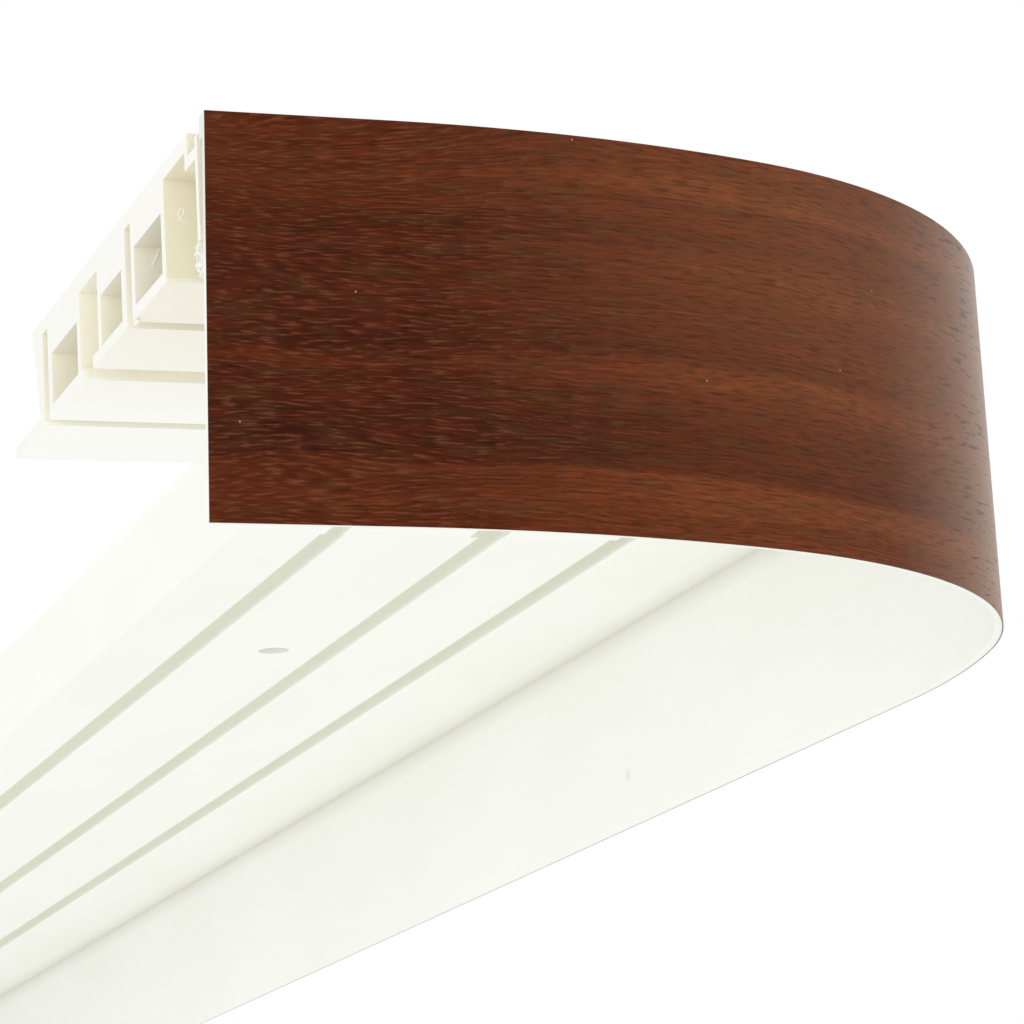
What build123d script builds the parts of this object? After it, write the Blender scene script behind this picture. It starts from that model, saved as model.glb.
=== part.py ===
from build123d import *
import os
from math import radians, sin

# Curtain track cover: a wood-faced plastic strip bent round the end of a three-row ceiling track.
#
# Millimetres, +Z up, and z = 0 is the ceiling that the track is screwed to. In plan, x is measured
# from the wall into the room and y from the strip's outer face on the return, along the wall. The
# straight track runs along y, and the return runs along x from the wall to the bend. An "inset" is
# a distance from the strip's outer face towards the inside of the bend. The origin is the middle
# ceiling screw hole, at the ceiling.

# Cover strip, a white core with a printed film on its outer face and a thicker rim along its top
strip_height = 50.0
film = 0.2
core = 1.0
rim_depth = 1.4
rim_height = 3.0
rim_round = 0.5
edge_round = 0.3
cut_lean = 1.3

# Plan of the strip: a straight lead from the wall, then three tangent arcs that turn it along the track
lead_length = 22.3
lead_radius = 172.7
lead_turn = 17.55
nose_radius = 82.4
nose_turn = 58.75
tail_radius = 159.2

# Outer size of the long leg, and the depth of every part of the track below the ceiling
leg_length = 1000.0
track_depth = 15.0

# Straight track, an extruded hollow profile with a slotted channel for each of its three rows
ceiling_plate = 1.5
lower_plate = 1.6
web = 1.5
rim_clearance = 0.3
nose_depth = 1.4
nose_height = 1.6
front_gap = 1.95
front_slope = 1.3
rear_gap = 90.4
rear_lean = 1.8
channel_width = 10.4
slot_width = 3.9
front_row = 26.3
middle_row = 48.5
rear_row = 74.7
slot_round = 0.5

# Corner unit, moulded in one piece: it turns the rows through a right angle and ends at the wall
plate = 2.0
shelf = 1.6
rib = 1.8
slot_rib = 2.4
rail_gap = 4.0
rail_wall = 1.2
rail_drop = 1.7
rail_foot = 0.3
gutter_width = 3.4
gutter_depth = 2.9
gutter_wall = 1.5
row_offset = 14.0
turn_start = 30.0
turn_tail = 34.0
lip_front = 2.7
box_front = 14.1
narrow_slot = 3.0
box_middle = 11.6
row_width = 10.4
mouth_inset = 3.5
mouth_width = 5.7
box_rear = 15.6
rear_lip = 16.6
rear_edge = 4.0

# Depth below the ceiling that each hollow of the corner unit is closed to, from the front backwards
front_ceiling = 5.7
middle_ceiling = 6.6
row_ceiling = 2.7
rear_ceiling = 6.2

# Joiner bars, pushed into the hollows of both units to hold them in line
joiner_reach = 30.0
joiner_clearance = 0.3
joiner_taper = 1.0

# Holes for the ceiling screws, and the wider holes below them that let the driver in
screw_hole = 4.0
driver_hole = 5.5
screw_row = 59.6
screw_first = 243.0
screw_pitch = 300.0
screw_count = 3

# Bead of hot-melt glue that holds the strip's end to the rail
glue_start = 0.4
glue_length = 5.0
glue_top = 11.5
glue_height = 8.0
glue_depth = 4.6
glue_round = 1.1

# Where the bend leads: the strip's outer face along the track, and the turning centre of the rows
nose_end = lead_turn + nose_turn
strip_x = (
    lead_length
    + lead_radius * sin(radians(lead_turn))
    + nose_radius * (sin(radians(nose_end)) - sin(radians(lead_turn)))
    + tail_radius * (1 - sin(radians(nose_end)))
)
turn_x = turn_start
turn_y = strip_x + row_offset - turn_start
joint_y = turn_y + turn_tail

# Insets of the strip's faces
core_in = film + core
rim_in = core_in + rim_depth

# Distances from the strip to the walls of the corner unit's rows, measured on the straight leg
rib_1 = rail_gap + lip_front
rib_2 = rib_1 + rib + box_front
rib_3 = rib_2 + rib + narrow_slot
rib_4 = rib_3 + slot_rib + box_middle
rib_5 = rib_4 + rib + row_width
rib_6 = rib_5 + rib + box_rear
rib_7 = rib_6 + slot_rib + narrow_slot
ribs = (
    (rib_1, rib),
    (rib_2, rib),
    (rib_3, slot_rib),
    (rib_4, rib),
    (rib_5, rib),
    (rib_6, slot_rib),
    (rib_7, slot_rib),
)
slots = (
    (rib_2 + rib, narrow_slot),
    (rib_4 + rib + mouth_inset, mouth_width),
    (rib_6 + slot_rib, narrow_slot),
)
ceilings = (
    (rib_1 + rib, box_front, front_ceiling),
    (rib_3 + slot_rib, box_middle, middle_ceiling),
    (rib_4 + rib, row_width, row_ceiling),
    (rib_5 + rib, box_rear, rear_ceiling),
)
return_rear = rib_7 + slot_rib + row_offset

# The middle screw hole of the straight track is the origin
screw_x = strip_x - screw_row
screw_y = screw_first + screw_pitch * (screw_count // 2)
home = Plane(origin=(-screw_x, -screw_y, 0))


def level(z):
    """Plan plane at height z, with its corner where the strip's face meets the wall."""
    return home.offset(z)


def strip_line(inset, start, end):
    """Plan line at one inset from the strip's outer face, from x = start to y = end."""
    with BuildLine() as line:
        lead = Line((start, inset), (lead_length, inset))
        first = JernArc(lead @ 1, lead % 1, lead_radius - inset, lead_turn)
        second = JernArc(first @ 1, first % 1, nose_radius - inset, nose_turn)
        third = JernArc(second @ 1, second % 1, tail_radius - inset, 90 - nose_end)
        Line(third @ 1, (strip_x - inset, end))
    return line.line


def strip_band(outer, inner, start, end):
    """Plan face between two insets of the strip."""
    with BuildSketch() as band:
        with BuildLine():
            add(strip_line(outer, start, end))
            add(strip_line(inner, start, end))
            Line((start, outer), (start, inner))
            Line((strip_x - outer, end), (strip_x - inner, end))
        make_face()
    return band.sketch


def row_line(inset):
    """Plan line of the corner unit's rows: along the return, round the turn, along the leg."""
    with BuildLine() as line:
        lead = Line((0, inset + row_offset), (turn_x, inset + row_offset))
        turn = JernArc(lead @ 1, lead % 1, turn_y - row_offset - inset, 90)
        Line(turn @ 1, (strip_x - inset, joint_y))
    return line.line


def row_band(inset, width):
    """Plan face of one rib or slot of the corner unit."""
    inner = inset + width
    with BuildSketch() as band:
        with BuildLine():
            add(row_line(inset))
            add(row_line(inner))
            Line((0, inset + row_offset), (0, inner + row_offset))
            Line((strip_x - inset, joint_y), (strip_x - inner, joint_y))
        make_face()
    return band.sketch


def shelf_line():
    """Plan line of the shelf's front edge: under the first rib on the return, a lip before it on the leg."""
    start = rib_1 + row_offset
    with BuildLine() as line:
        lead = Line((0, start), (turn_x, start))
        turn = JernArc(lead @ 1, lead % 1, strip_x - rail_gap - turn_x, 90)
        Line(turn @ 1, (strip_x - rail_gap, joint_y))
    return line.line


def corner_plate(front_line, front, rear_x, rear_y):
    """Plan face of a plate of the corner unit, from a front line to its square rear corner."""
    with BuildSketch() as face:
        with BuildLine():
            add(front_line)
            Line((strip_x - front, joint_y), (rear_x, joint_y))
            Line((rear_x, joint_y), (rear_x, rear_y))
            Line((rear_x, rear_y), (0, rear_y))
            Line((0, rear_y), front_line.vertices().sort_by(Axis.X)[0])
        make_face()
    return face.sketch


def on_strip_line(inset, z):
    """Test for edges that lie on one inset of the strip at height z."""
    path = Wire(strip_line(inset, -cut_lean, leg_length).edges())
    path = path.moved(Location((-screw_x, -screw_y, z)))
    return lambda edge: path.distance_to(edge.position_at(0.5)) < 0.01


# The wall end of the strip is cut a little out of square, with its lower corner nearer the wall
wall_cut = Plane(origin=level(0).origin, z_dir=(strip_height, 0, -cut_lean))

# Cover strip: rim, then the thin body that hangs from it
with BuildPart() as cover_strip:
    with BuildSketch(level(-rim_height)):
        add(strip_band(film, rim_in, -cut_lean, leg_length))
    extrude(amount=rim_height)
    fillet(cover_strip.edges().filter_by(on_strip_line(rim_in, -rim_height)), rim_round)
    with BuildSketch(level(-strip_height)):
        add(strip_band(film, core_in, -cut_lean, leg_length))
    extrude(amount=strip_height)
    fillet(cover_strip.edges().filter_by(on_strip_line(core_in, -strip_height)), edge_round)
    split(bisect_by=wall_cut, keep=Keep.TOP)

# Printed wood film, laminated to the whole outer face
with BuildPart() as wood_film:
    with BuildSketch(level(-strip_height)):
        add(strip_band(0, film, -cut_lean, leg_length))
    extrude(amount=strip_height)
    split(bisect_by=wall_cut, keep=Keep.TOP)

# Section of the straight track: local x is the inset and local y is the height
track_end = Plane(
    origin=home.from_local_coords(Vector(strip_x, joint_y, 0)),
    x_dir=(-1, 0, 0),
    z_dir=(0, 1, 0),
)
pocket_in = rim_in + rim_clearance
ledge = rim_height + rim_clearance
rows = (front_row, middle_row, rear_row)
wall_starts = [pocket_in] + [row + channel_width / 2 for row in rows]
wall_ends = [row - channel_width / 2 - web for row in rows]
roof = -ceiling_plate
floor = lower_plate - track_depth

with BuildPart() as straight_track:
    with BuildSketch(track_end):
        with BuildLine():
            Polyline(
                (front_gap, -track_depth),
                (rear_gap, -track_depth),
                (rear_gap + rear_lean, 0),
                (pocket_in, 0),
                (pocket_in, -ledge),
                (pocket_in - nose_depth, -ledge),
                (pocket_in - nose_depth, -ledge - nose_height),
                (front_gap, -ledge - nose_height - front_slope),
                (front_gap, -track_depth),
            )
        make_face()
        # Hollow boxes in front of, between and behind the rows
        for start, end in zip(wall_starts, wall_ends):
            with Locations(((start + web + end) / 2, (roof + floor) / 2)):
                Rectangle(end - start - web, roof - floor, mode=Mode.SUBTRACT)
        with BuildLine():
            rear_start = wall_starts[-1] + web
            Polyline(
                (rear_start, floor),
                (rear_gap - web, floor),
                (rear_gap - web + rear_lean, roof),
                (rear_start, roof),
                (rear_start, floor),
            )
        make_face(mode=Mode.SUBTRACT)
        # Channels that the hooks run in, each open below through its slot
        for row in rows:
            with Locations((row, (roof + floor) / 2)):
                Rectangle(channel_width, roof - floor, mode=Mode.SUBTRACT)
            with Locations((row, floor - lower_plate / 2)):
                Rectangle(slot_width, lower_plate, mode=Mode.SUBTRACT)
    extrude(amount=leg_length - joint_y)
    slot_edges = straight_track.edges().filter_by(Axis.Y).group_by(Axis.Z)[0]
    fillet(slot_edges.sort_by(Axis.X)[1:-1], slot_round)
    # Screw holes through the ceiling plate and driver holes below them
    with Locations(Plane.XY.offset(0)):
        with GridLocations(screw_pitch, screw_pitch, 1, screw_count):
            Hole(screw_hole / 2, depth=ceiling_plate)
    with Locations(Plane.XY.offset(floor)):
        with GridLocations(screw_pitch, screw_pitch, 1, screw_count):
            Hole(driver_hole / 2, depth=lower_plate)

# Corner unit: plates, ribs and front rail are one moulding
shelf_top = shelf - track_depth
rear_x = strip_x - rear_gap
rail_in = rail_gap + rail_wall
with BuildPart() as corner_unit:
    with BuildSketch(level(-plate)):
        gutter_in = rail_in + gutter_width
        add(
            corner_plate(
                strip_line(gutter_in, 0, joint_y),
                gutter_in,
                rear_x - rear_lean,
                return_rear + rear_edge,
            )
        )
    extrude(amount=plate)
    with BuildSketch(level(-track_depth)):
        add(corner_plate(shelf_line(), rail_gap, rear_x, return_rear + rear_lip))
        for inset, width in slots:
            add(row_band(inset, width), mode=Mode.SUBTRACT)
    extrude(amount=shelf)
    with BuildSketch(level(shelf_top - shelf / 2)):
        for inset, width in ribs:
            add(row_band(inset, width))
    extrude(amount=track_depth - shelf / 2 - plate / 2)
    for inset, width, depth in ceilings:
        with BuildSketch(level(-depth)):
            add(row_band(inset - rib / 2, width + rib))
        extrude(amount=depth - plate / 2)
    # Rear wall of the return, which leans back to the edge of the top plate
    with BuildSketch(Plane(origin=level(0).origin, x_dir=(0, 1, 0), z_dir=(1, 0, 0))):
        with BuildLine():
            Polyline(
                (return_rear, -track_depth),
                (return_rear, 0),
                (return_rear + rear_edge, 0),
                (return_rear, -track_depth),
            )
        make_face()
    extrude(amount=rear_x)
    with BuildSketch(level(-track_depth)):
        add(row_band(rib_7 - narrow_slot, narrow_slot))
    extrude(amount=track_depth - plate, mode=Mode.SUBTRACT)
    # Front rail beside the strip, with the gutter behind its top edge
    with BuildSketch(level(rail_foot - track_depth)):
        add(strip_band(rail_gap, rail_in, 0, joint_y))
    extrude(amount=track_depth - rail_foot - rail_drop)
    with BuildSketch(level(-gutter_depth - gutter_wall)):
        add(strip_band(rail_gap, gutter_in + gutter_wall, 0, joint_y))
    extrude(amount=gutter_depth + gutter_wall - plate / 2)
    with BuildSketch(level(-gutter_depth)):
        add(strip_band(rail_in, gutter_in, 0, joint_y))
    extrude(amount=gutter_depth, mode=Mode.SUBTRACT)
    with BuildSketch(level(-rail_drop)):
        add(strip_band(film, rail_in, 0, joint_y))
    extrude(amount=rail_drop, mode=Mode.SUBTRACT)
    # Screw holes on the diagonal of the turn, one in each wide hollow
    for inset, width, depth in (ceilings[0], ceilings[-1]):
        radius = turn_y - row_offset - inset - width / 2
        reach = radius * sin(radians(45))
        with Locations(level(0)):
            with Locations((turn_x + reach, turn_y - reach)):
                Hole(screw_hole / 2, depth=depth)
        with Locations(level(shelf_top)):
            with Locations((turn_x + reach, turn_y - reach)):
                Hole(driver_hole / 2, depth=shelf)

# Joiner bars: each fills the width that a hollow of one unit shares with a hollow of the other
corner_boxes = (ceilings[0], ceilings[1], ceilings[3])
track_boxes = [(start + web, end) for start, end in zip(wall_starts, wall_ends)]
joiner_base = max(shelf_top, floor) + joiner_clearance
joiners = []
for (inset, width, depth), hollow in zip(corner_boxes, track_boxes):
    start = max(inset, hollow[0]) + joiner_clearance
    end = min(inset + width, hollow[1]) - joiner_clearance
    joiner_top = -max(depth, ceiling_plate) - joiner_clearance
    with BuildPart() as joiner:
        with BuildSketch(level(joiner_base)):
            with Locations((strip_x - (start + end) / 2, joint_y)):
                Rectangle(end - start, 2 * joiner_reach)
        extrude(amount=joiner_top - joiner_base)
        chamfer(joiner.faces().sort_by(Axis.Y)[0].edges(), joiner_taper)
        chamfer(joiner.faces().sort_by(Axis.Y)[-1].edges(), joiner_taper)
    joiners.append(joiner)

# Glue bead: squeezed between the strip and the rail, and rounded where it hangs below the rail
with BuildPart() as glue_bead:
    with BuildSketch(level(-glue_top - glue_height)):
        with Locations((glue_start, core_in)):
            Rectangle(glue_length, glue_depth, align=(Align.MIN, Align.MIN))
    extrude(amount=glue_height)
    rounded = glue_bead.edges().filter_by(lambda edge: edge.center().Y > home.origin.Y + core_in + 0.01)
    fillet(rounded, glue_round)
    with BuildSketch(level(rail_foot - track_depth)):
        add(strip_band(rail_gap, rail_in, 0, joint_y))
    extrude(amount=track_depth, mode=Mode.SUBTRACT)

os.makedirs("parts", exist_ok=True)
named = {
    "cover_strip": cover_strip,
    "wood_film": wood_film,
    "straight_track": straight_track,
    "corner_unit": corner_unit,
    "joiner_front": joiners[0],
    "joiner_middle": joiners[1],
    "joiner_rear": joiners[2],
    "glue_bead": glue_bead,
}
for label, piece in named.items():
    piece.part.label = label
    export_step(piece.part, f"parts/{label}.step")
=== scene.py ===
import bpy
import numpy as np
from mathutils import Matrix, Vector


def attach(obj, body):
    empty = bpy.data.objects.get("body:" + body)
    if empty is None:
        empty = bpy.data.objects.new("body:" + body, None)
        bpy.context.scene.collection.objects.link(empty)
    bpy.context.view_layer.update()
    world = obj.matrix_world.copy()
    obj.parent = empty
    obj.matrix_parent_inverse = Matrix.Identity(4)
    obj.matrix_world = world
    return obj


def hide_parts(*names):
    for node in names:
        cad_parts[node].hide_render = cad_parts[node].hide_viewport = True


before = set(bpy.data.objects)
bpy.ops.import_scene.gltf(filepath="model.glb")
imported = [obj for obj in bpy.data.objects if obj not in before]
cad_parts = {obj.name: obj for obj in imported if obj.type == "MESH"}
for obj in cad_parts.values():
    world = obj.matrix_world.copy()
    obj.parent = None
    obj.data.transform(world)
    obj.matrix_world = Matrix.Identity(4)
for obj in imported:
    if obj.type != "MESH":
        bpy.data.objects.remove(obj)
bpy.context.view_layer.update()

# Camera: the viewer looks up from below and from the wall side, so that the strip stands across the picture
# and the slotted underside runs away behind it. The place and the angles come from a camera fit.
camera_place = Vector((-0.19181, -0.97726, -0.15435))
camera_right = Vector((0.94596, -0.31962, -0.05473))
camera_up = Vector((-0.02167, -0.23069, 0.97278))
picture_width = 1024
focal_length_px = 4000.352
sensor_width = 36.0

lens = bpy.data.cameras.new("viewer")
lens.sensor_width = sensor_width
lens.lens = focal_length_px / picture_width * sensor_width
lens.clip_start = 0.02
lens.clip_end = 20.0
viewer = bpy.data.objects.new("viewer", lens)
bpy.context.scene.collection.objects.link(viewer)
camera_right.normalize()
camera_back = camera_right.cross(camera_up).normalized()
camera_up = camera_back.cross(camera_right)
viewer.matrix_world = Matrix.Translation(camera_place) @ Matrix(
    (camera_right, camera_up, camera_back)
).transposed().to_4x4()
bpy.context.scene.camera = viewer
bpy.context.scene.view_settings.view_transform = "Standard"

# Cover strip: a co-extruded white plastic strip, bent cold round the end of the track. A thicker rim
# along its top edge hooks over the track, and its wall end is cut a little out of square.
MM = 0.001
strip_height = 50 * MM
film_depth = 0.2 * MM
core_inner = 1.2 * MM
rim_inner = 2.6 * MM
rim_height = 3 * MM
cut_lean = 1.3 * MM
leg_length = 1000 * MM
lead_length = 22.3 * MM
bend_radii = np.array([172.7, 82.4, 159.2]) * MM
bend_turns = np.radians([17.55, 58.75, 13.7])
wall_x = -74.514 * MM
face_y = -543 * MM

run_lengths = np.array([lead_length, *(bend_radii * bend_turns)])
run_starts = np.array([0, *np.cumsum(run_lengths)])
run_bends = np.array([0, *(1 / bend_radii), 0])
run_headings = np.array([0, 0, *np.cumsum(bend_turns)])
run_chords = run_lengths * np.sinc(run_bends[:-1] * run_lengths / (2 * np.pi))
run_aims = run_headings[:-1] + run_bends[:-1] * run_lengths / 2
corner_x = wall_x + np.array([0, *np.cumsum(run_chords * np.cos(run_aims))])
corner_y = face_y + np.array([0, *np.cumsum(run_chords * np.sin(run_aims))])
strip_length = run_starts[-1] + face_y + leg_length - corner_y[-1]


def strip_point(along, inset):
    """Plan point at a length along the strip's outer face and an inset towards the inside of the bend.

    Each run of the strip is straight or an arc. The point is the run's first corner, plus the chord to
    it (length times the sinc of half the turn) at the mean heading, plus the inset square to the heading.
    """
    run = np.clip(np.searchsorted(run_starts, along, side="right") - 1, 0, len(run_starts) - 1)
    length = along - run_starts[run]
    turn = run_bends[run] * length
    chord = length * np.sinc(turn / (2 * np.pi))
    aim = run_headings[run] + turn / 2
    heading = run_headings[run] + turn
    x = corner_x[run] + chord * np.cos(aim) - inset * np.sin(heading)
    y = corner_y[run] + chord * np.sin(aim) + inset * np.cos(heading)
    return x, y


def ringed_mesh(name, points, run=None, height=None):
    """Closed skin over a grid of points: rings along a path, each ring going once round a profile.

    Neighbouring rings are joined by quads, and the first and last rings are closed by one face each.
    Run and height, one value a point, become the piece's own UV map.
    """
    rings, sides = points.shape[:2]
    ids = np.arange(rings * sides).reshape(rings, sides)
    near, far = ids[:-1], ids[1:]
    quads = np.stack([near, far, np.roll(far, -1, 1), np.roll(near, -1, 1)], -1).reshape(-1, 4)
    faces = quads.tolist() + [ids[0].tolist(), ids[-1, ::-1].tolist()]
    mesh = bpy.data.meshes.new(name)
    mesh.from_pydata(points.reshape(-1, 3).tolist(), [], faces)
    if run is not None:
        corners = np.empty(len(mesh.loops), np.int32)
        mesh.loops.foreach_get("vertex_index", corners)
        uv = np.stack([run.ravel()[corners], height.ravel()[corners]], -1)
        mesh.uv_layers.new(name="run_and_height").data.foreach_set("uv", uv.astype(np.float32).ravel())
    return mesh


def show(name, mesh, finishes, smooth_under=35):
    """Puts a mesh into the scene at the origin, with its finishes, smooth but for its sharp edges."""
    for finish in finishes:
        mesh.materials.append(finish)
    mesh.shade_smooth()
    mesh.set_sharp_from_angle(angle=np.radians(smooth_under))
    piece = bpy.data.objects.new(name, mesh)
    bpy.context.scene.collection.objects.link(piece)
    return piece


def strip_stations():
    """Lengths along the strip at which a ring is made, close together round the bend."""
    lead = np.linspace(0, lead_length, 12, endpoint=False)
    bend = np.linspace(lead_length, run_starts[-1], 220, endpoint=False)
    leg = np.linspace(run_starts[-1], strip_length, 60)
    return np.concatenate([lead, bend, leg])


def carry_along_strip(name, insets, heights):
    """Carries a closed profile of insets and heights along the strip.

    Along the straight lead each ring leans, by the cut's lean at the wall and by nothing at its end,
    so that the first ring lies in the cut.
    """
    along = strip_stations()[:, None]
    lean = cut_lean * heights[None, :] / strip_height * np.clip(1 - along / lead_length, 0, 1)
    along = along + lean
    x, y = strip_point(along, np.broadcast_to(insets[None, :], along.shape))
    z = np.broadcast_to(heights[None, :], along.shape)
    return ringed_mesh(name, np.stack([x, y, z], -1), along, z)


def rounded(corners, radii, steps=4):
    """Closed profile with its corners rounded.

    Each corner is replaced by points on an arc that touches both sides, found as the quadratic blend
    of the two touching points and the corner.
    """
    corners = np.array(corners, float)
    before = np.roll(corners, 1, 0) - corners
    after = np.roll(corners, -1, 0) - corners
    before /= np.linalg.norm(before, axis=1)[:, None]
    after /= np.linalg.norm(after, axis=1)[:, None]
    radii = np.array(radii, float)[:, None]
    t = np.linspace(0, 1, steps)[None, :, None]
    start = (corners + before * radii)[:, None]
    end = (corners + after * radii)[:, None]
    middle = corners[:, None]
    points = (1 - t) ** 2 * start + 2 * t * (1 - t) * middle + t**2 * end
    return points.reshape(-1, 2)


def colour(red, green, blue):
    """Shader colour from 0 to 255 display values, by the sRGB curve."""
    shares = np.array([red, green, blue]) / 255
    linear = np.where(shares <= 0.04045, shares / 12.92, ((shares + 0.055) / 1.055) ** 2.4)
    return (*linear.tolist(), 1.0)


def node(tree, kind, values=None, **settings):
    """One node: settings are its own options, and values are set on its sockets or linked to them."""
    made = tree.nodes.new("ShaderNode" + kind)
    for key, value in settings.items():
        setattr(made, key, value)
    for key, value in (values or {}).items():
        if isinstance(value, bpy.types.NodeSocket):
            tree.links.new(value, made.inputs[key])
        else:
            made.inputs[key].default_value = value
    return made


def finish_of(name, **constants):
    """New material: its tree and its Principled shader, with constants on the shader's own sockets."""
    finish = bpy.data.materials.new(name)
    finish.use_nodes = True
    shader = finish.node_tree.nodes["Principled BSDF"]
    for key, value in constants.items():
        shader.inputs[key.replace("_", " ")].default_value = value
    return finish, finish.node_tree, shader


def grain(tree, place, sizes, detail=2.0, roughness=0.5):
    """Noise whose cells measure the given sizes in millimetres along the three axes."""
    scaled = node(tree, "Mapping", {"Vector": place, "Scale": [1000 / size for size in sizes]})
    values = {"Vector": scaled.outputs["Vector"], "Scale": 1.0, "Detail": detail, "Roughness": roughness}
    return node(tree, "TexNoise", values).outputs["Fac"]


def spread(tree, value, low, high, to_low=0.0, to_high=1.0, ease="LINEAR"):
    """Value mapped from low..high to to_low..to_high, held at the ends."""
    values = {"Value": value, "From Min": low, "From Max": high, "To Min": to_low, "To Max": to_high}
    return node(tree, "MapRange", values, interpolation_type=ease).outputs["Result"]


def sums(tree, operation, first, second):
    """One sum of two values."""
    return node(tree, "Math", {0: first, 1: second}, operation=operation).outputs["Value"]


def product(tree, first, *others):
    """Values multiplied together."""
    for other in others:
        first = sums(tree, "MULTIPLY", first, other)
    return first


def weighted(tree, parts, start=0.0):
    """Values added up, each times its own weight."""
    for value, weight in parts:
        start = sums(tree, "ADD", start, product(tree, value, weight))
    return start


def rest_of(tree, share):
    """What a share leaves of the whole."""
    return sums(tree, "SUBTRACT", 1.0, share)


def within(tree, value, low, high, soft):
    """Share that is 1 from low to high and falls off to 0 over a soft distance beyond each."""
    return product(
        tree, spread(tree, value, low - soft, low), spread(tree, value, high, high + soft, 1.0, 0.0)
    )


def frame_place(tree):
    """Place of the shaded point in the frame."""
    return node(tree, "TexCoord").outputs["Object"]


def axes_of(tree, vector):
    """The parts of a vector, by the names of its axes."""
    return node(tree, "SeparateXYZ", {"Vector": vector}).outputs


def ramp(tree, value, stops):
    """Colour ramp through (place, colour) stops."""
    made = node(tree, "ValToRGB", {"Fac": value})
    elements = made.color_ramp.elements
    elements[0].position, elements[0].color = stops[0]
    elements[1].position, elements[1].color = stops[-1]
    for place, shade in stops[1:-1]:
        elements.new(place).color = shade
    return made.outputs["Color"]


def mixed(tree, share, first, second):
    """Two colours mixed by a share."""
    return node(tree, "Mix", {"Factor": share, "A": first, "B": second}, data_type="RGBA").outputs["Result"]


def raised(tree, shader, height, strength, distance):
    """Fine relief on the face, from a height."""
    bump = node(tree, "Bump", {"Height": height, "Strength": strength, "Distance": distance})
    tree.links.new(bump.outputs["Normal"], shader.inputs["Normal"])


def white_plastic(name, cells, cool, warm):
    """Unpigmented white vinyl: two near whites in soft clouds, a satin face and faint draw lines."""
    finish, tree, shader = finish_of(name, Specular_IOR_Level=0.35)
    place = frame_place(tree)
    clouds = grain(tree, place, (22, 60, 22), detail=3)
    lines = grain(tree, place, cells, detail=2)
    tone = weighted(tree, [(clouds, 0.7), (lines, 0.3)])
    shades = ramp(tree, spread(tree, tone, 0.35, 0.65), [(0, colour(*warm)), (1, colour(*cool))])
    tree.links.new(spread(tree, lines, 0.3, 0.7, 0.34, 0.46), shader.inputs["Roughness"])
    raised(tree, shader, lines, 0.2, 0.02 * MM)
    tree.links.new(shades, shader.inputs["Base Color"])
    return finish, tree, shader, shades


def shaded(tree, shader, shades, share, other):
    """Lays another shade over a white by a share, and gives back the new shades."""
    shades = mixed(tree, share, shades, colour(*other))
    tree.links.new(shades, shader.inputs["Base Color"])
    return shades


def painted_glow(tree, shader, shades, share, strength):
    """Painted light: a faint glow of the plastic's own colour, set as emission by a share, standing in for
    light that comes through the thin walls.
    """
    tree.links.new(mixed(tree, share, (0, 0, 0, 1), shades), shader.inputs["Emission Color"])
    shader.inputs["Emission Strength"].default_value = strength


# In the frame: the depth of the track, the strip's outer face along the leg, and the two units' joint
track_depth = 15 * MM
face_x = wall_x + 134.114 * MM
joint_y = face_y + 152.114 * MM

# Painted shade on the strip where it meets the track, a speck of dirt on its inner face, and a painted glow
# beside the track
crevice_soft = 4 * MM
strip_crevice_share, strip_painted_shade = 0.6, (220, 221, 206)
speck_place = (58.4 * MM, -320.5 * MM, -41.0 * MM)
speck_core, speck_rim = 0.4 * MM, 1.4 * MM
speck_share, speck_grey = 0.3, (190, 190, 182)
beside_soft = 0.5 * MM
strip_glow = 0.22
core_rounds = np.array([0.05, 0.3, 0.25, 0.5, 0.2, 0.05]) * MM

strip_white, tree, shader, shades = white_plastic(
    "strip_white", (160, 160, 0.6), (245, 246, 240), (242, 243, 236)
)
spot = axes_of(tree, frame_place(tree))
# Painted shade: the strip's white is greyed over the track's depth, where the track shades it
crevice = within(tree, spot["Z"], -track_depth, 0, crevice_soft)
shades = shaded(tree, shader, shades, product(tree, crevice, strip_crevice_share), strip_painted_shade)
speck_far = node(
    tree, "VectorMath", {0: frame_place(tree), 1: speck_place}, operation="DISTANCE"
).outputs["Value"]
speck = spread(tree, speck_far, speck_core, speck_rim, speck_share, 0.0)
shades = shaded(tree, shader, shades, speck, speck_grey)
# Painted light: a faint glow on the strip's inner face beside the track, past the joint
beside_track = product(
    tree,
    within(tree, spot["Z"], -track_depth + beside_soft, 0, beside_soft),
    spread(tree, spot["Y"], joint_y - 1 * MM, joint_y),
)
painted_glow(tree, shader, shades, beside_track, strip_glow)
core_profile = rounded(
    [
        (film_depth, -strip_height),
        (core_inner, -strip_height),
        (core_inner, -rim_height),
        (rim_inner, -rim_height),
        (rim_inner, 0),
        (film_depth, 0),
    ],
    core_rounds,
)
strip_core = show(
    "strip_core",
    carry_along_strip("strip_core", core_profile[:, 0], core_profile[:, 1]),
    [strip_white],
)
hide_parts("cover_strip")
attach(strip_core, "root")

# Wood film: a printed and lightly embossed vinyl film, 0.2 mm thick, laminated to the strip's whole
# outer face. The print is a dark red mahogany: broad stripes, fine figure lines and short pores.
film_edge_round = 0.06 * MM
film_back_round = 0.01 * MM
film_profile = rounded(
    [(0, -strip_height), (film_depth, -strip_height), (film_depth, 0), (0, 0)],
    [film_edge_round, film_back_round, film_back_round, film_edge_round],
)

# Tones of the broad stripes, from the film's lower edge (0) to its upper edge (1)
stripe_tones = [
    (0.0, 0.52), (0.05, 0.5), (0.075, 0.64), (0.145, 0.66), (0.165, 0.26), (0.25, 0.3), (0.35, 0.42),
    (0.39, 0.62), (0.43, 0.62), (0.455, 0.38), (0.5, 0.44), (0.67, 0.52), (0.69, 0.62), (0.72, 0.6),
    (0.74, 0.42), (0.86, 0.4), (0.88, 0.66), (0.925, 0.66), (0.95, 0.48), (1.0, 0.48),
]
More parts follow.
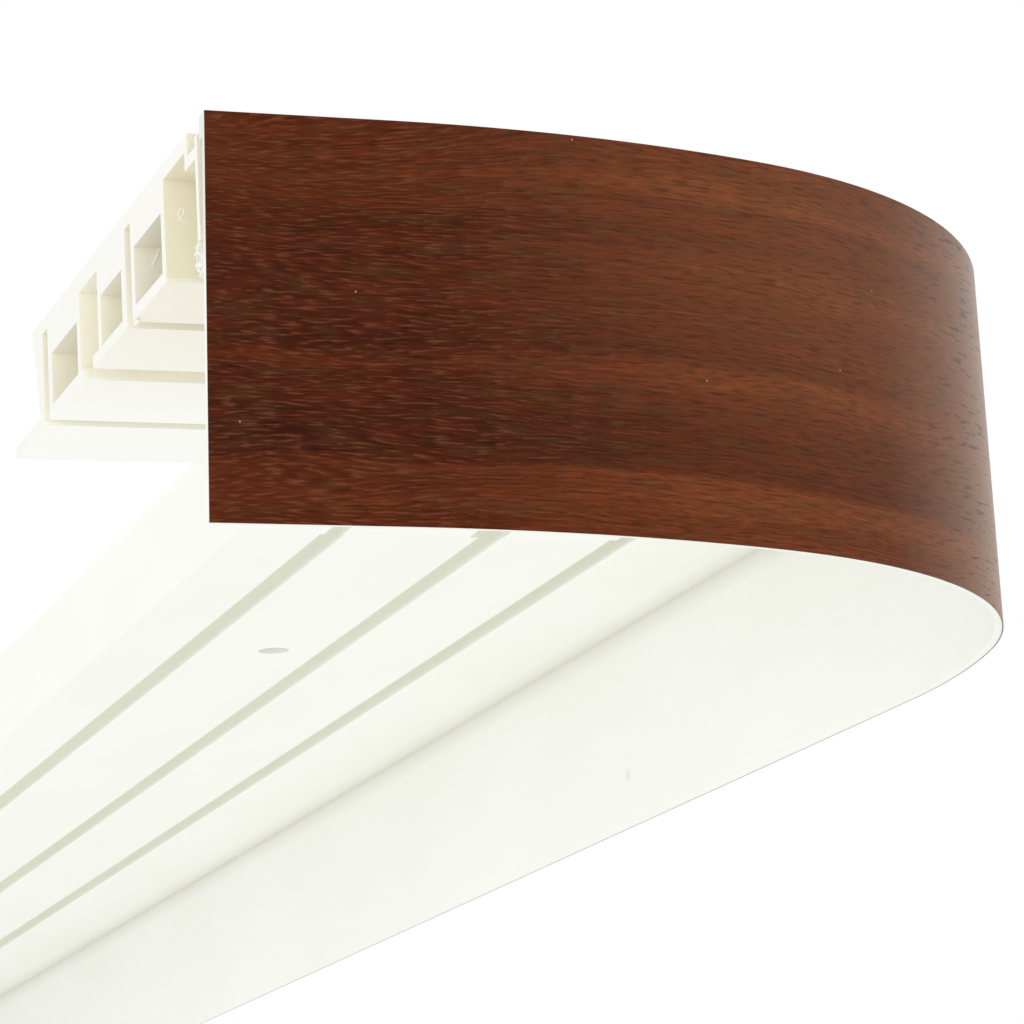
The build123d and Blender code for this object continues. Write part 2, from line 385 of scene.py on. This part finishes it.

# Inks of the print: the wood's ground from its darkest to its palest, and what lies over it. The sheen
# browns are painted sheen, and the fleck brown is painted glints.
ground_inks = [
    (0.1, (44, 17, 7)),
    (0.3, (72, 29, 11)),
    (0.5, (98, 44, 19)),
    (0.7, (126, 67, 35)),
    (0.92, (146, 86, 50)),
]
olive_brown, brick_brown = (80, 52, 28), (112, 48, 28)
sheen_pale_brown, sheen_haze_brown = (150, 102, 70), (160, 122, 92)
pore_brown, fleck_glint_brown, bend_pore_brown = (48, 20, 10), (116, 68, 48), (44, 22, 12)
dust_per_metre, dust_grey = 34.0, (200, 170, 150)


def mahogany():
    """The print, laid out on the piece's own map: run along the strip and height, both in metres.

    A slow noise, a lift towards the wall end and a slant behind the bend shift the height, and the
    shifted height drives the broad stripes. Noises stretched along the run add the figure lines, the
    dark pores and the paler flecks, short and dense near the wall end; the flecks are painted
    highlights, the glints of the embossing. Past the wall end a paler tan, most at the top, is painted
    sheen, and round the bend a painted sheen haze lies over the print and its pores are longer; further
    along the leg the haze and the long pores fade out again.
    """
    finish, tree, shader = finish_of(
        "mahogany_film",
        Specular_IOR_Level=0.04,
        Roughness=0.34,
        Sheen_Weight=0.22,
        Sheen_Roughness=0.35,
        Sheen_Tint=(1.0, 0.92, 0.82, 1.0),
    )
    place = node(tree, "UVMap", uv_map="run_and_height").outputs["UV"]
    split = axes_of(tree, place)
    run, height = split["X"], split["Y"]

    def along(start, end, to_start=0.0, to_end=1.0, ease="LINEAR"):
        """Value that goes over from one to the other between two runs in millimetres."""
        return spread(tree, run, start * MM, end * MM, to_start, to_end, ease)

    def centred(sizes, reach, detail=2.0):
        """Noise about nothing, times a reach."""
        return product(tree, sums(tree, "SUBTRACT", grain(tree, place, sizes, detail), 0.5), reach)

    wall_share = along(30, 62, 1.0, 0.0)
    bend_share = product(tree, along(95, 130), along(185, 260, 1.0, 0.0))

    sway = centred((75, 14, 10), 5 * MM)
    curl = product(tree, centred((26, 8, 10), 2 * MM, 1.0), along(20, 60, 1.0, 0.3))
    lift = along(8, 50, 4.5 * MM, 0.0, "SMOOTHSTEP")
    lift = product(tree, lift, spread(tree, height, -16 * MM, -1 * MM))
    slant = along(95, 165, 0.0, 6 * MM, "SMOOTHSTEP")
    bent_height = weighted(tree, [(sway, 1.0), (curl, 1.0), (lift, 1.0)], height)
    streak_height = sums(tree, "SUBTRACT", bent_height, slant)
    streaked = node(tree, "CombineXYZ", {"X": run, "Y": streak_height}).outputs["Vector"]

    level = spread(tree, bent_height, -strip_height, 0)
    stripes = ramp(tree, level, [(at, (tone, tone, tone, 1)) for at, tone in stripe_tones])
    blotch = grain(tree, place, (19, 8, 10), detail=3)
    patches = weighted(tree, [(stripes, 0.3), (blotch, 0.4)])
    patch_share = product(tree, wall_share, 0.85)
    broad = node(
        tree, "Mix", {"Factor": patch_share, "A": stripes, "B": patches}, data_type="FLOAT"
    ).outputs["Result"]
    bands = grain(tree, streaked, (120, 2.2, 10), detail=3, roughness=0.55)
    lines = grain(tree, streaked, (15, 0.38, 10), detail=2.5, roughness=0.55)
    dashes = grain(tree, streaked, (2.7, 0.3, 10), detail=1.5)
    heart = within(tree, bent_height, -41 * MM, -13 * MM, 4 * MM)
    heart = product(tree, heart, along(45, 85, 1.0, 0.0))
    figure = [(broad, 0.6), (bands, 0.3), (lines, 0.34), (dashes, 0.44)]
    tone = weighted(tree, figure + [(wall_share, -0.04), (heart, -0.09)], -0.35)
    ground = ramp(tree, tone, [(at, colour(*ink)) for at, ink in ground_inks])

    hue = grain(tree, streaked, (8, 1.8, 10), detail=2)
    ground = mixed(tree, spread(tree, hue, 0.5, 0.64, 0.0, 0.36), ground, colour(*olive_brown))
    ground = mixed(tree, spread(tree, hue, 0.36, 0.5, 0.2, 0.0), ground, colour(*brick_brown))
    # Painted sheen: a paler tan past the wall end, most at the top, and a haze round the bend
    high = spread(tree, height, -44 * MM, -16 * MM, 0.35, 1.0)
    low = spread(tree, height, -42 * MM, -8 * MM, 1.0, 0.0)
    pale = product(tree, along(25, 85), high, 0.26)
    haze = product(tree, bend_share, weighted(tree, [(low, 0.26)], 0.34))
    ground = mixed(tree, pale, ground, colour(*sheen_pale_brown))
    ground = mixed(tree, haze, ground, colour(*sheen_haze_brown))

    pore_noise = grain(tree, streaked, (3.2, 0.3, 10), detail=1.2)
    bend_pore_noise = grain(tree, streaked, (5.5, 0.55, 10), detail=1.0)
    # Painted highlights: the paler flecks stand for glints of the embossing
    fleck_noise = grain(tree, streaked, (2.6, 0.3, 4), detail=1.2)
    pores = product(tree, spread(tree, pore_noise, 0.52, 0.66), along(85, 120, 0.4, 0.14))
    flecks = product(tree, spread(tree, fleck_noise, 0.54, 0.68), along(30, 75, 0.5, 0.14))
    bend_pores = product(tree, spread(tree, bend_pore_noise, 0.59, 0.67, 0.0, 0.9), bend_share)
    print_colour = mixed(tree, pores, ground, colour(*pore_brown))
    print_colour = mixed(tree, flecks, print_colour, colour(*fleck_glint_brown))
    print_colour = mixed(tree, bend_pores, print_colour, colour(*bend_pore_brown))
    dust_far = node(
        tree, "TexVoronoi", {"Vector": place, "Scale": dust_per_metre}, voronoi_dimensions="2D"
    ).outputs["Distance"]
    dust = spread(tree, dust_far, 0.002, 0.005, 0.7, 0.0)
    print_colour = mixed(tree, dust, print_colour, colour(*dust_grey))
    tree.links.new(print_colour, shader.inputs["Base Color"])
    relief = sums(tree, "SUBTRACT", product(tree, dashes, 0.4), pores)
    raised(tree, shader, relief, 0.5, 0.03 * MM)
    return finish


wood_face = show(
    "wood_film_print",
    carry_along_strip("wood_film_print", film_profile[:, 0], film_profile[:, 1]),
    [mahogany()],
)
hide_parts("wood_film")
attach(wood_face, "root")

# Straight track: white vinyl drawn through a die as one hollow profile, with a slotted channel for
# each of its three rows, and drilled for the ceiling screws. Painted shade and a painted glow on it go by
# the place in the profile.
track_crevice_share, track_painted_shade = 0.42, (222, 223, 208)
pocket_depth = 2.4 * MM
inner_low, inner_high = -13.3 * MM, -1.6 * MM
inner_rear, inner_front = face_x - 88 * MM, face_x - 3.4 * MM
inner_share, inner_painted_shade = 0.5, (242, 244, 230)
side_depth = 2.9 * MM
side_low, side_high, side_share = -14.6 * MM, -1.0 * MM, 0.9
mask_soft = 0.1 * MM
track_glow = 0.18

track_white, tree, shader, shades = white_plastic(
    "track_white", (0.5, 300, 0.5), (249, 250, 243), (246, 247, 238)
)
spot = axes_of(tree, frame_place(tree))
# Painted shade: the track's front is greyed where it meets the strip
crevice = within(tree, spot["X"], face_x - pocket_depth, face_x, crevice_soft)
shades = shaded(tree, shader, shades, product(tree, crevice, track_crevice_share), track_painted_shade)
facing = axes_of(tree, node(tree, "NewGeometry").outputs["Normal"])
end_on = sums(tree, "ABSOLUTE", facing["Y"], 0)
# Painted shade inside the channels, and a painted glow there and on the face beside the strip
inside = product(
    tree,
    within(tree, spot["Z"], inner_low, inner_high, mask_soft),
    within(tree, spot["X"], inner_rear, inner_front, mask_soft),
    spread(tree, end_on, 0.3, 0.6, 1.0, 0.0),
)
strip_side = product(
    tree,
    within(tree, spot["X"], face_x - side_depth, face_x, mask_soft),
    within(tree, spot["Z"], side_low, side_high, 3 * mask_soft),
    side_share,
)
shades = shaded(tree, shader, shades, product(tree, inside, inner_share), inner_painted_shade)
painted_glow(tree, shader, shades, sums(tree, "MAXIMUM", inside, strip_side), track_glow)


def refinish(name, finish):
    """Gives a CAD node its finish."""
    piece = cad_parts[name]
    piece.data.materials.clear()
    piece.data.materials.append(finish)


refinish("straight_track", track_white)

# Corner unit: moulded in one piece of the same white vinyl, it leads the rows round to the wall, where
# it was sawn off square. Its white is painted a warmer cream, as shade, nearer the wall, and painted as
# white as the track at the joint.
hollow_low, hollow_high = -14.5 * MM, -0.1 * MM
warm_end, cool_start = face_y + 35 * MM, face_y + 85 * MM
hollow_keeps, joint_white = 0.9, (249, 250, 243)
cut_full, cut_end = wall_x + 0.5 * MM, wall_x + 1 * MM
cut_share, cut_white = 0.9, (243, 243, 237)
first_start, first_end = face_y + 6 * MM, face_y + 21 * MM
first_share, first_hollow_painted_shade = 0.5, (226, 218, 186)
lit_start, lit_dim_end, lit_full_start = face_y + 22 * MM, face_y + 38 * MM, face_y + 44 * MM
lit_shallow, lit_deep = wall_x + 2 * MM, wall_x + 12 * MM
corner_glow = 0.08

corner_white, tree, shader, shades = white_plastic(
    "corner_white", (1.4, 1.4, 1.4), (243, 240, 226), (240, 235, 216)
)
spot = axes_of(tree, frame_place(tree))
facing = axes_of(tree, node(tree, "NewGeometry").outputs["Normal"])
# Painted shade: the cream stands for the white in shade; outside the hollows it is painted as white as the
# track towards the joint
hollows = within(tree, spot["Z"], hollow_low, hollow_high, mask_soft)
near_joint = product(
    tree, spread(tree, spot["Y"], warm_end, cool_start), rest_of(tree, product(tree, hollows, hollow_keeps))
)
shades = shaded(tree, shader, shades, near_joint, joint_white)
# Painted light: the cut face, lit from the wall side, is painted a cooler white than the cream of the shade
on_cut = product(
    tree,
    spread(tree, facing["X"], -0.8, -0.5, 1.0, 0.0),
    spread(tree, spot["X"], cut_full, cut_end, 1.0, 0.0),
)
shades = shaded(tree, shader, shades, product(tree, on_cut, cut_share), cut_white)
# Painted shade: the first hollow is painted a darker cream
first_hollow = within(tree, spot["Y"], first_start, first_end, mask_soft)
first_hollow = product(tree, first_hollow, hollows, rest_of(tree, on_cut))
shades = shaded(tree, shader, shades, product(tree, first_hollow, first_share), first_hollow_painted_shade)
# Painted light: a faint glow on the walls of the hollows past the first, stronger deeper in from the cut
lit_walls = product(
    tree,
    spread(tree, spot["Y"], lit_start, lit_start + 0.5 * MM),
    hollows,
    rest_of(tree, on_cut),
    spread(tree, spot["X"], lit_shallow, lit_deep, 0.25, 1.0),
    spread(tree, spot["Y"], lit_dim_end, lit_full_start, 0.3, 1.0),
)
painted_glow(tree, shader, shades, lit_walls, corner_glow)
refinish("corner_unit", corner_white)

# Joiner bars: plain bars of the same white plastic, pushed into the hollows of both units to hold
# them in line. They can't be seen once the track is up.
for bar in ("joiner_front", "joiner_middle", "joiner_rear"):
    refinish(bar, corner_white)

# Glue bead: milky hot-melt glue with small bubbles in it, squeezed in a lumpy bead from between the
# strip and the rail at the wall end, where it set as it hung.
glue_x, glue_y = wall_x + 2.55 * MM, face_y + 5.5 * MM
glue_half_x, glue_half_y = 2.45 * MM, 4.2 * MM
glue_top, glue_low = -13.3 * MM, -19.0 * MM
glue_squareness = 0.3
glue_shades = [(0.35, (216, 214, 200)), (0.5, (234, 232, 220)), (0.66, (250, 248, 240))]
bubbles_per_metre = 1100.0
bubble_grey = (138, 140, 122)


def glue_skin(rings=90, sides=56):
    """Stack of rounded boxes that narrows to nothing at both ends.

    The swell is the root of one less the fourth power of the way along, and three sines of the turn and
    the way along raise the lumps. Sine and cosine to a power well below one square the rings off.
    """
    way = np.linspace(-0.999, 0.999, rings)[:, None]
    turn = np.linspace(0, 2 * np.pi, sides, endpoint=False)[None, :]
    lumps = 0.88 + 0.04 * np.sin(3 * turn + 7.3 * way) + 0.03 * np.sin(6 * turn - 11 * way)
    lumps = (lumps + 0.05 * np.sin(13 * way + 2 * turn)) * (0.96 - 0.1 * way)
    swell = np.sqrt(1 - way**4) * lumps
    square = np.sign(np.cos(turn)) * np.abs(np.cos(turn)) ** glue_squareness
    across = np.sign(np.sin(turn)) * np.abs(np.sin(turn)) ** glue_squareness
    x = glue_x + glue_half_x * swell * square
    y = glue_y + glue_half_y * swell * across
    z = np.broadcast_to((glue_top + glue_low) / 2 - way * (glue_top - glue_low) / 2, x.shape)
    return np.stack([x, y, z], -1)[::-1]


glue_milk, tree, shader = finish_of("glue_milk", Roughness=0.14, Specular_IOR_Level=0.5, IOR=1.5)
place = frame_place(tree)
cloud = grain(tree, place, (1.1, 1.1, 0.9), detail=3)
milk = ramp(tree, cloud, [(at, colour(*shade)) for at, shade in glue_shades])
bubbles = node(tree, "TexVoronoi", {"Vector": place, "Scale": bubbles_per_metre}).outputs["Distance"]
bubble_share = spread(tree, bubbles, 0.14, 0.26, 0.75, 0.0)
tree.links.new(mixed(tree, bubble_share, milk, colour(*bubble_grey)), shader.inputs["Base Color"])
raised(tree, shader, cloud, 0.8, 0.25 * MM)
glue = show("glue_lump", ringed_mesh("glue_lump", glue_skin()), [glue_milk], 60)
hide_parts("glue_bead")
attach(glue, "root")

# Glue strings: two hair-thin threads of the same glue, which trailed from the gun over the ribs of the
# corner unit as it was pulled away, and set where they fell.
string_radius = 0.07 * MM
string_glow = 0.12
string_glowing_white, tree, shader, shades = white_plastic(
    "string_glowing_white", (0.4, 0.4, 0.4), (253, 252, 246), (247, 246, 238)
)
# Painted light: the threads glow faintly all over, so that they show paler than the shade round them
painted_glow(tree, shader, shades, 1.0, string_glow)


def thread(points, radius, steps=60, sides=8):
    """Round thread through a few points.

    The points are the corners of a Bezier curve of their own degree, and each ring is a circle in the
    plane across the thread's direction.
    """
    points = np.array(points) * MM + np.array([wall_x, face_y, 0])
    t = np.linspace(0, 1, steps)[:, None]
    layers = [np.repeat(point[None, :], steps, 0) for point in points]
    while len(layers) > 1:
        layers = [(1 - t) * first + t * second for first, second in zip(layers, layers[1:])]
    centre = layers[0]
    ahead = np.gradient(centre, axis=0)
    ahead /= np.linalg.norm(ahead, axis=1)[:, None]
    out = np.array([0.0, 1.0, 0.0])
    side = np.cross(ahead, out)
    side /= np.linalg.norm(side, axis=1)[:, None]
    turn = np.linspace(0, 2 * np.pi, sides, endpoint=False)[None, :, None]
    taper = radius * (0.45 + 0.55 * np.sin(np.pi * np.linspace(0, 1, steps)))[:, None, None]
    return centre[:, None] + taper * (np.cos(turn) * side[:, None] + np.sin(turn) * out)


loop_points = [
    (1.5, 20.62, -7.1), (2.5, 20.62, -6.6), (3.5, 20.62, -5.6), (2.0, 20.62, -4.2),
    (1.0, 20.62, -6.4), (1.9, 20.62, -6.9), (2.6, 20.62, -7.4),
]
strand_points = [(2.2, 36.52, -8.3), (2.5, 36.52, -7.6), (3.1, 36.52, -6.9), (3.3, 36.52, -5.8)]
for name, points in (("glue_string_front", loop_points), ("glue_string_rear", strand_points)):
    string_skin = ringed_mesh(name, thread(points, string_radius))
    string = show(name, string_skin, [string_glowing_white], 60)
    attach(string, "root")

# Saw flakes: crumbs of the white vinyl that the saw left hanging on the corner unit's cut edge,
# beside the first slot. Each spot is its place from the wall and the strip's face, and its size.
flake_spots = [
    (0.35, 38.3, -14.3, 0.3), (0.4, 37.7, -15.05, 0.36), (0.3, 37.0, -15.3, 0.26), (0.35, 38.2, -15.2, 0.3),
]


def flake_skin(x, y, z, size, lobe_shift, rings=14, sides=18):
    """Lumpy ball: the root of one less the square of the way along gives its rings.

    A sine of three times the turn raises three lobes on each ring, and the ball is narrower away from
    the wall than along it.
    """
    way = np.linspace(-0.998, 0.998, rings)[:, None]
    turn = np.linspace(0, 2 * np.pi, sides, endpoint=False)[None, :]
    reach = size * MM * np.sqrt(1 - way**2) * (1 + 0.25 * np.sin(3 * turn + 5 * way + lobe_shift))
    across = wall_x + x * MM + 0.8 * reach * np.cos(turn)
    along = face_y + y * MM + 1.25 * reach * np.sin(turn)
    down = np.broadcast_to(z * MM - size * MM * way, reach.shape)
    return np.stack([across, along, down], -1)[::-1]


for count, flake_spot in enumerate(flake_spots):
    name = "saw_flake_" + "abcd"[count]
    flake = show(name, ringed_mesh(name, flake_skin(*flake_spot, count)), [corner_white], 60)
    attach(flake, "root")

# Studio: a pale floor far below, white all round, and soft light from in front and below.
floor_drop = 0.9
floor_half = 3.0
floor_mesh = bpy.data.meshes.new("floor")
floor_mesh.from_pydata(
    [
        (-floor_half, -floor_half, -floor_drop),
        (floor_half, -floor_half, -floor_drop),
        (floor_half, floor_half, -floor_drop),
        (-floor_half, floor_half, -floor_drop),
    ],
    [],
    [(0, 1, 2, 3)],
)
floor = bpy.data.objects.new("floor", floor_mesh)
bpy.context.scene.collection.objects.link(floor)
floor_finish, floor_tree, floor_shader = finish_of("floor_paper", Roughness=0.9)
floor_clouds = grain(floor_tree, frame_place(floor_tree), (400, 400, 400))
floor_tree.links.new(
    ramp(floor_tree, floor_clouds, [(0.3, colour(243, 243, 243)), (0.7, colour(248, 248, 248))]),
    floor_shader.inputs["Base Color"],
)
floor_mesh.materials.append(floor_finish)

room_light = 0.82
world = bpy.data.worlds.new("studio")
world.use_nodes = True
bpy.context.scene.world = world
sky = world.node_tree
sky.nodes.clear()
path = node(sky, "LightPath").outputs
seen = sums(sky, "MAXIMUM", path["Is Camera Ray"], path["Is Glossy Ray"])
seen = sums(sky, "MAXIMUM", seen, path["Is Transmission Ray"])
light = node(sky, "Background", {"Color": (1.0, 1.0, 1.0, 1.0), "Strength": room_light})
backdrop = node(sky, "Background", {"Color": (1.0, 1.0, 1.0, 1.0), "Strength": 1.0})
both = node(sky, "MixShader", {0: seen, 1: light.outputs[0], 2: backdrop.outputs[0]})
node(sky, "OutputWorld", {"Surface": both.outputs[0]})


def soft_box(name, place, target, size, watts):
    """Square area lamp at a place, turned to a target."""
    lamp = bpy.data.lights.new(name, "AREA")
    lamp.size = size
    lamp.energy = watts
    box = bpy.data.objects.new(name, lamp)
    bpy.context.scene.collection.objects.link(box)
    aim = (Vector(target) - Vector(place)).normalized()
    box.matrix_world = Matrix.Translation(place) @ aim.to_track_quat("-Z", "Y").to_matrix().to_4x4()


soft_box("front_box", (-0.5, -1.5, -0.2), (0, -0.45, -0.03), 0.9, 4.35)
soft_box("wall_box", (-1.3, -0.35, -0.1), (0, -0.35, -0.01), 1.0, 2.0)
soft_box("low_box", (0.05, -0.1, -0.44), (0.02, -0.2, 0), 1.0, 0.8)
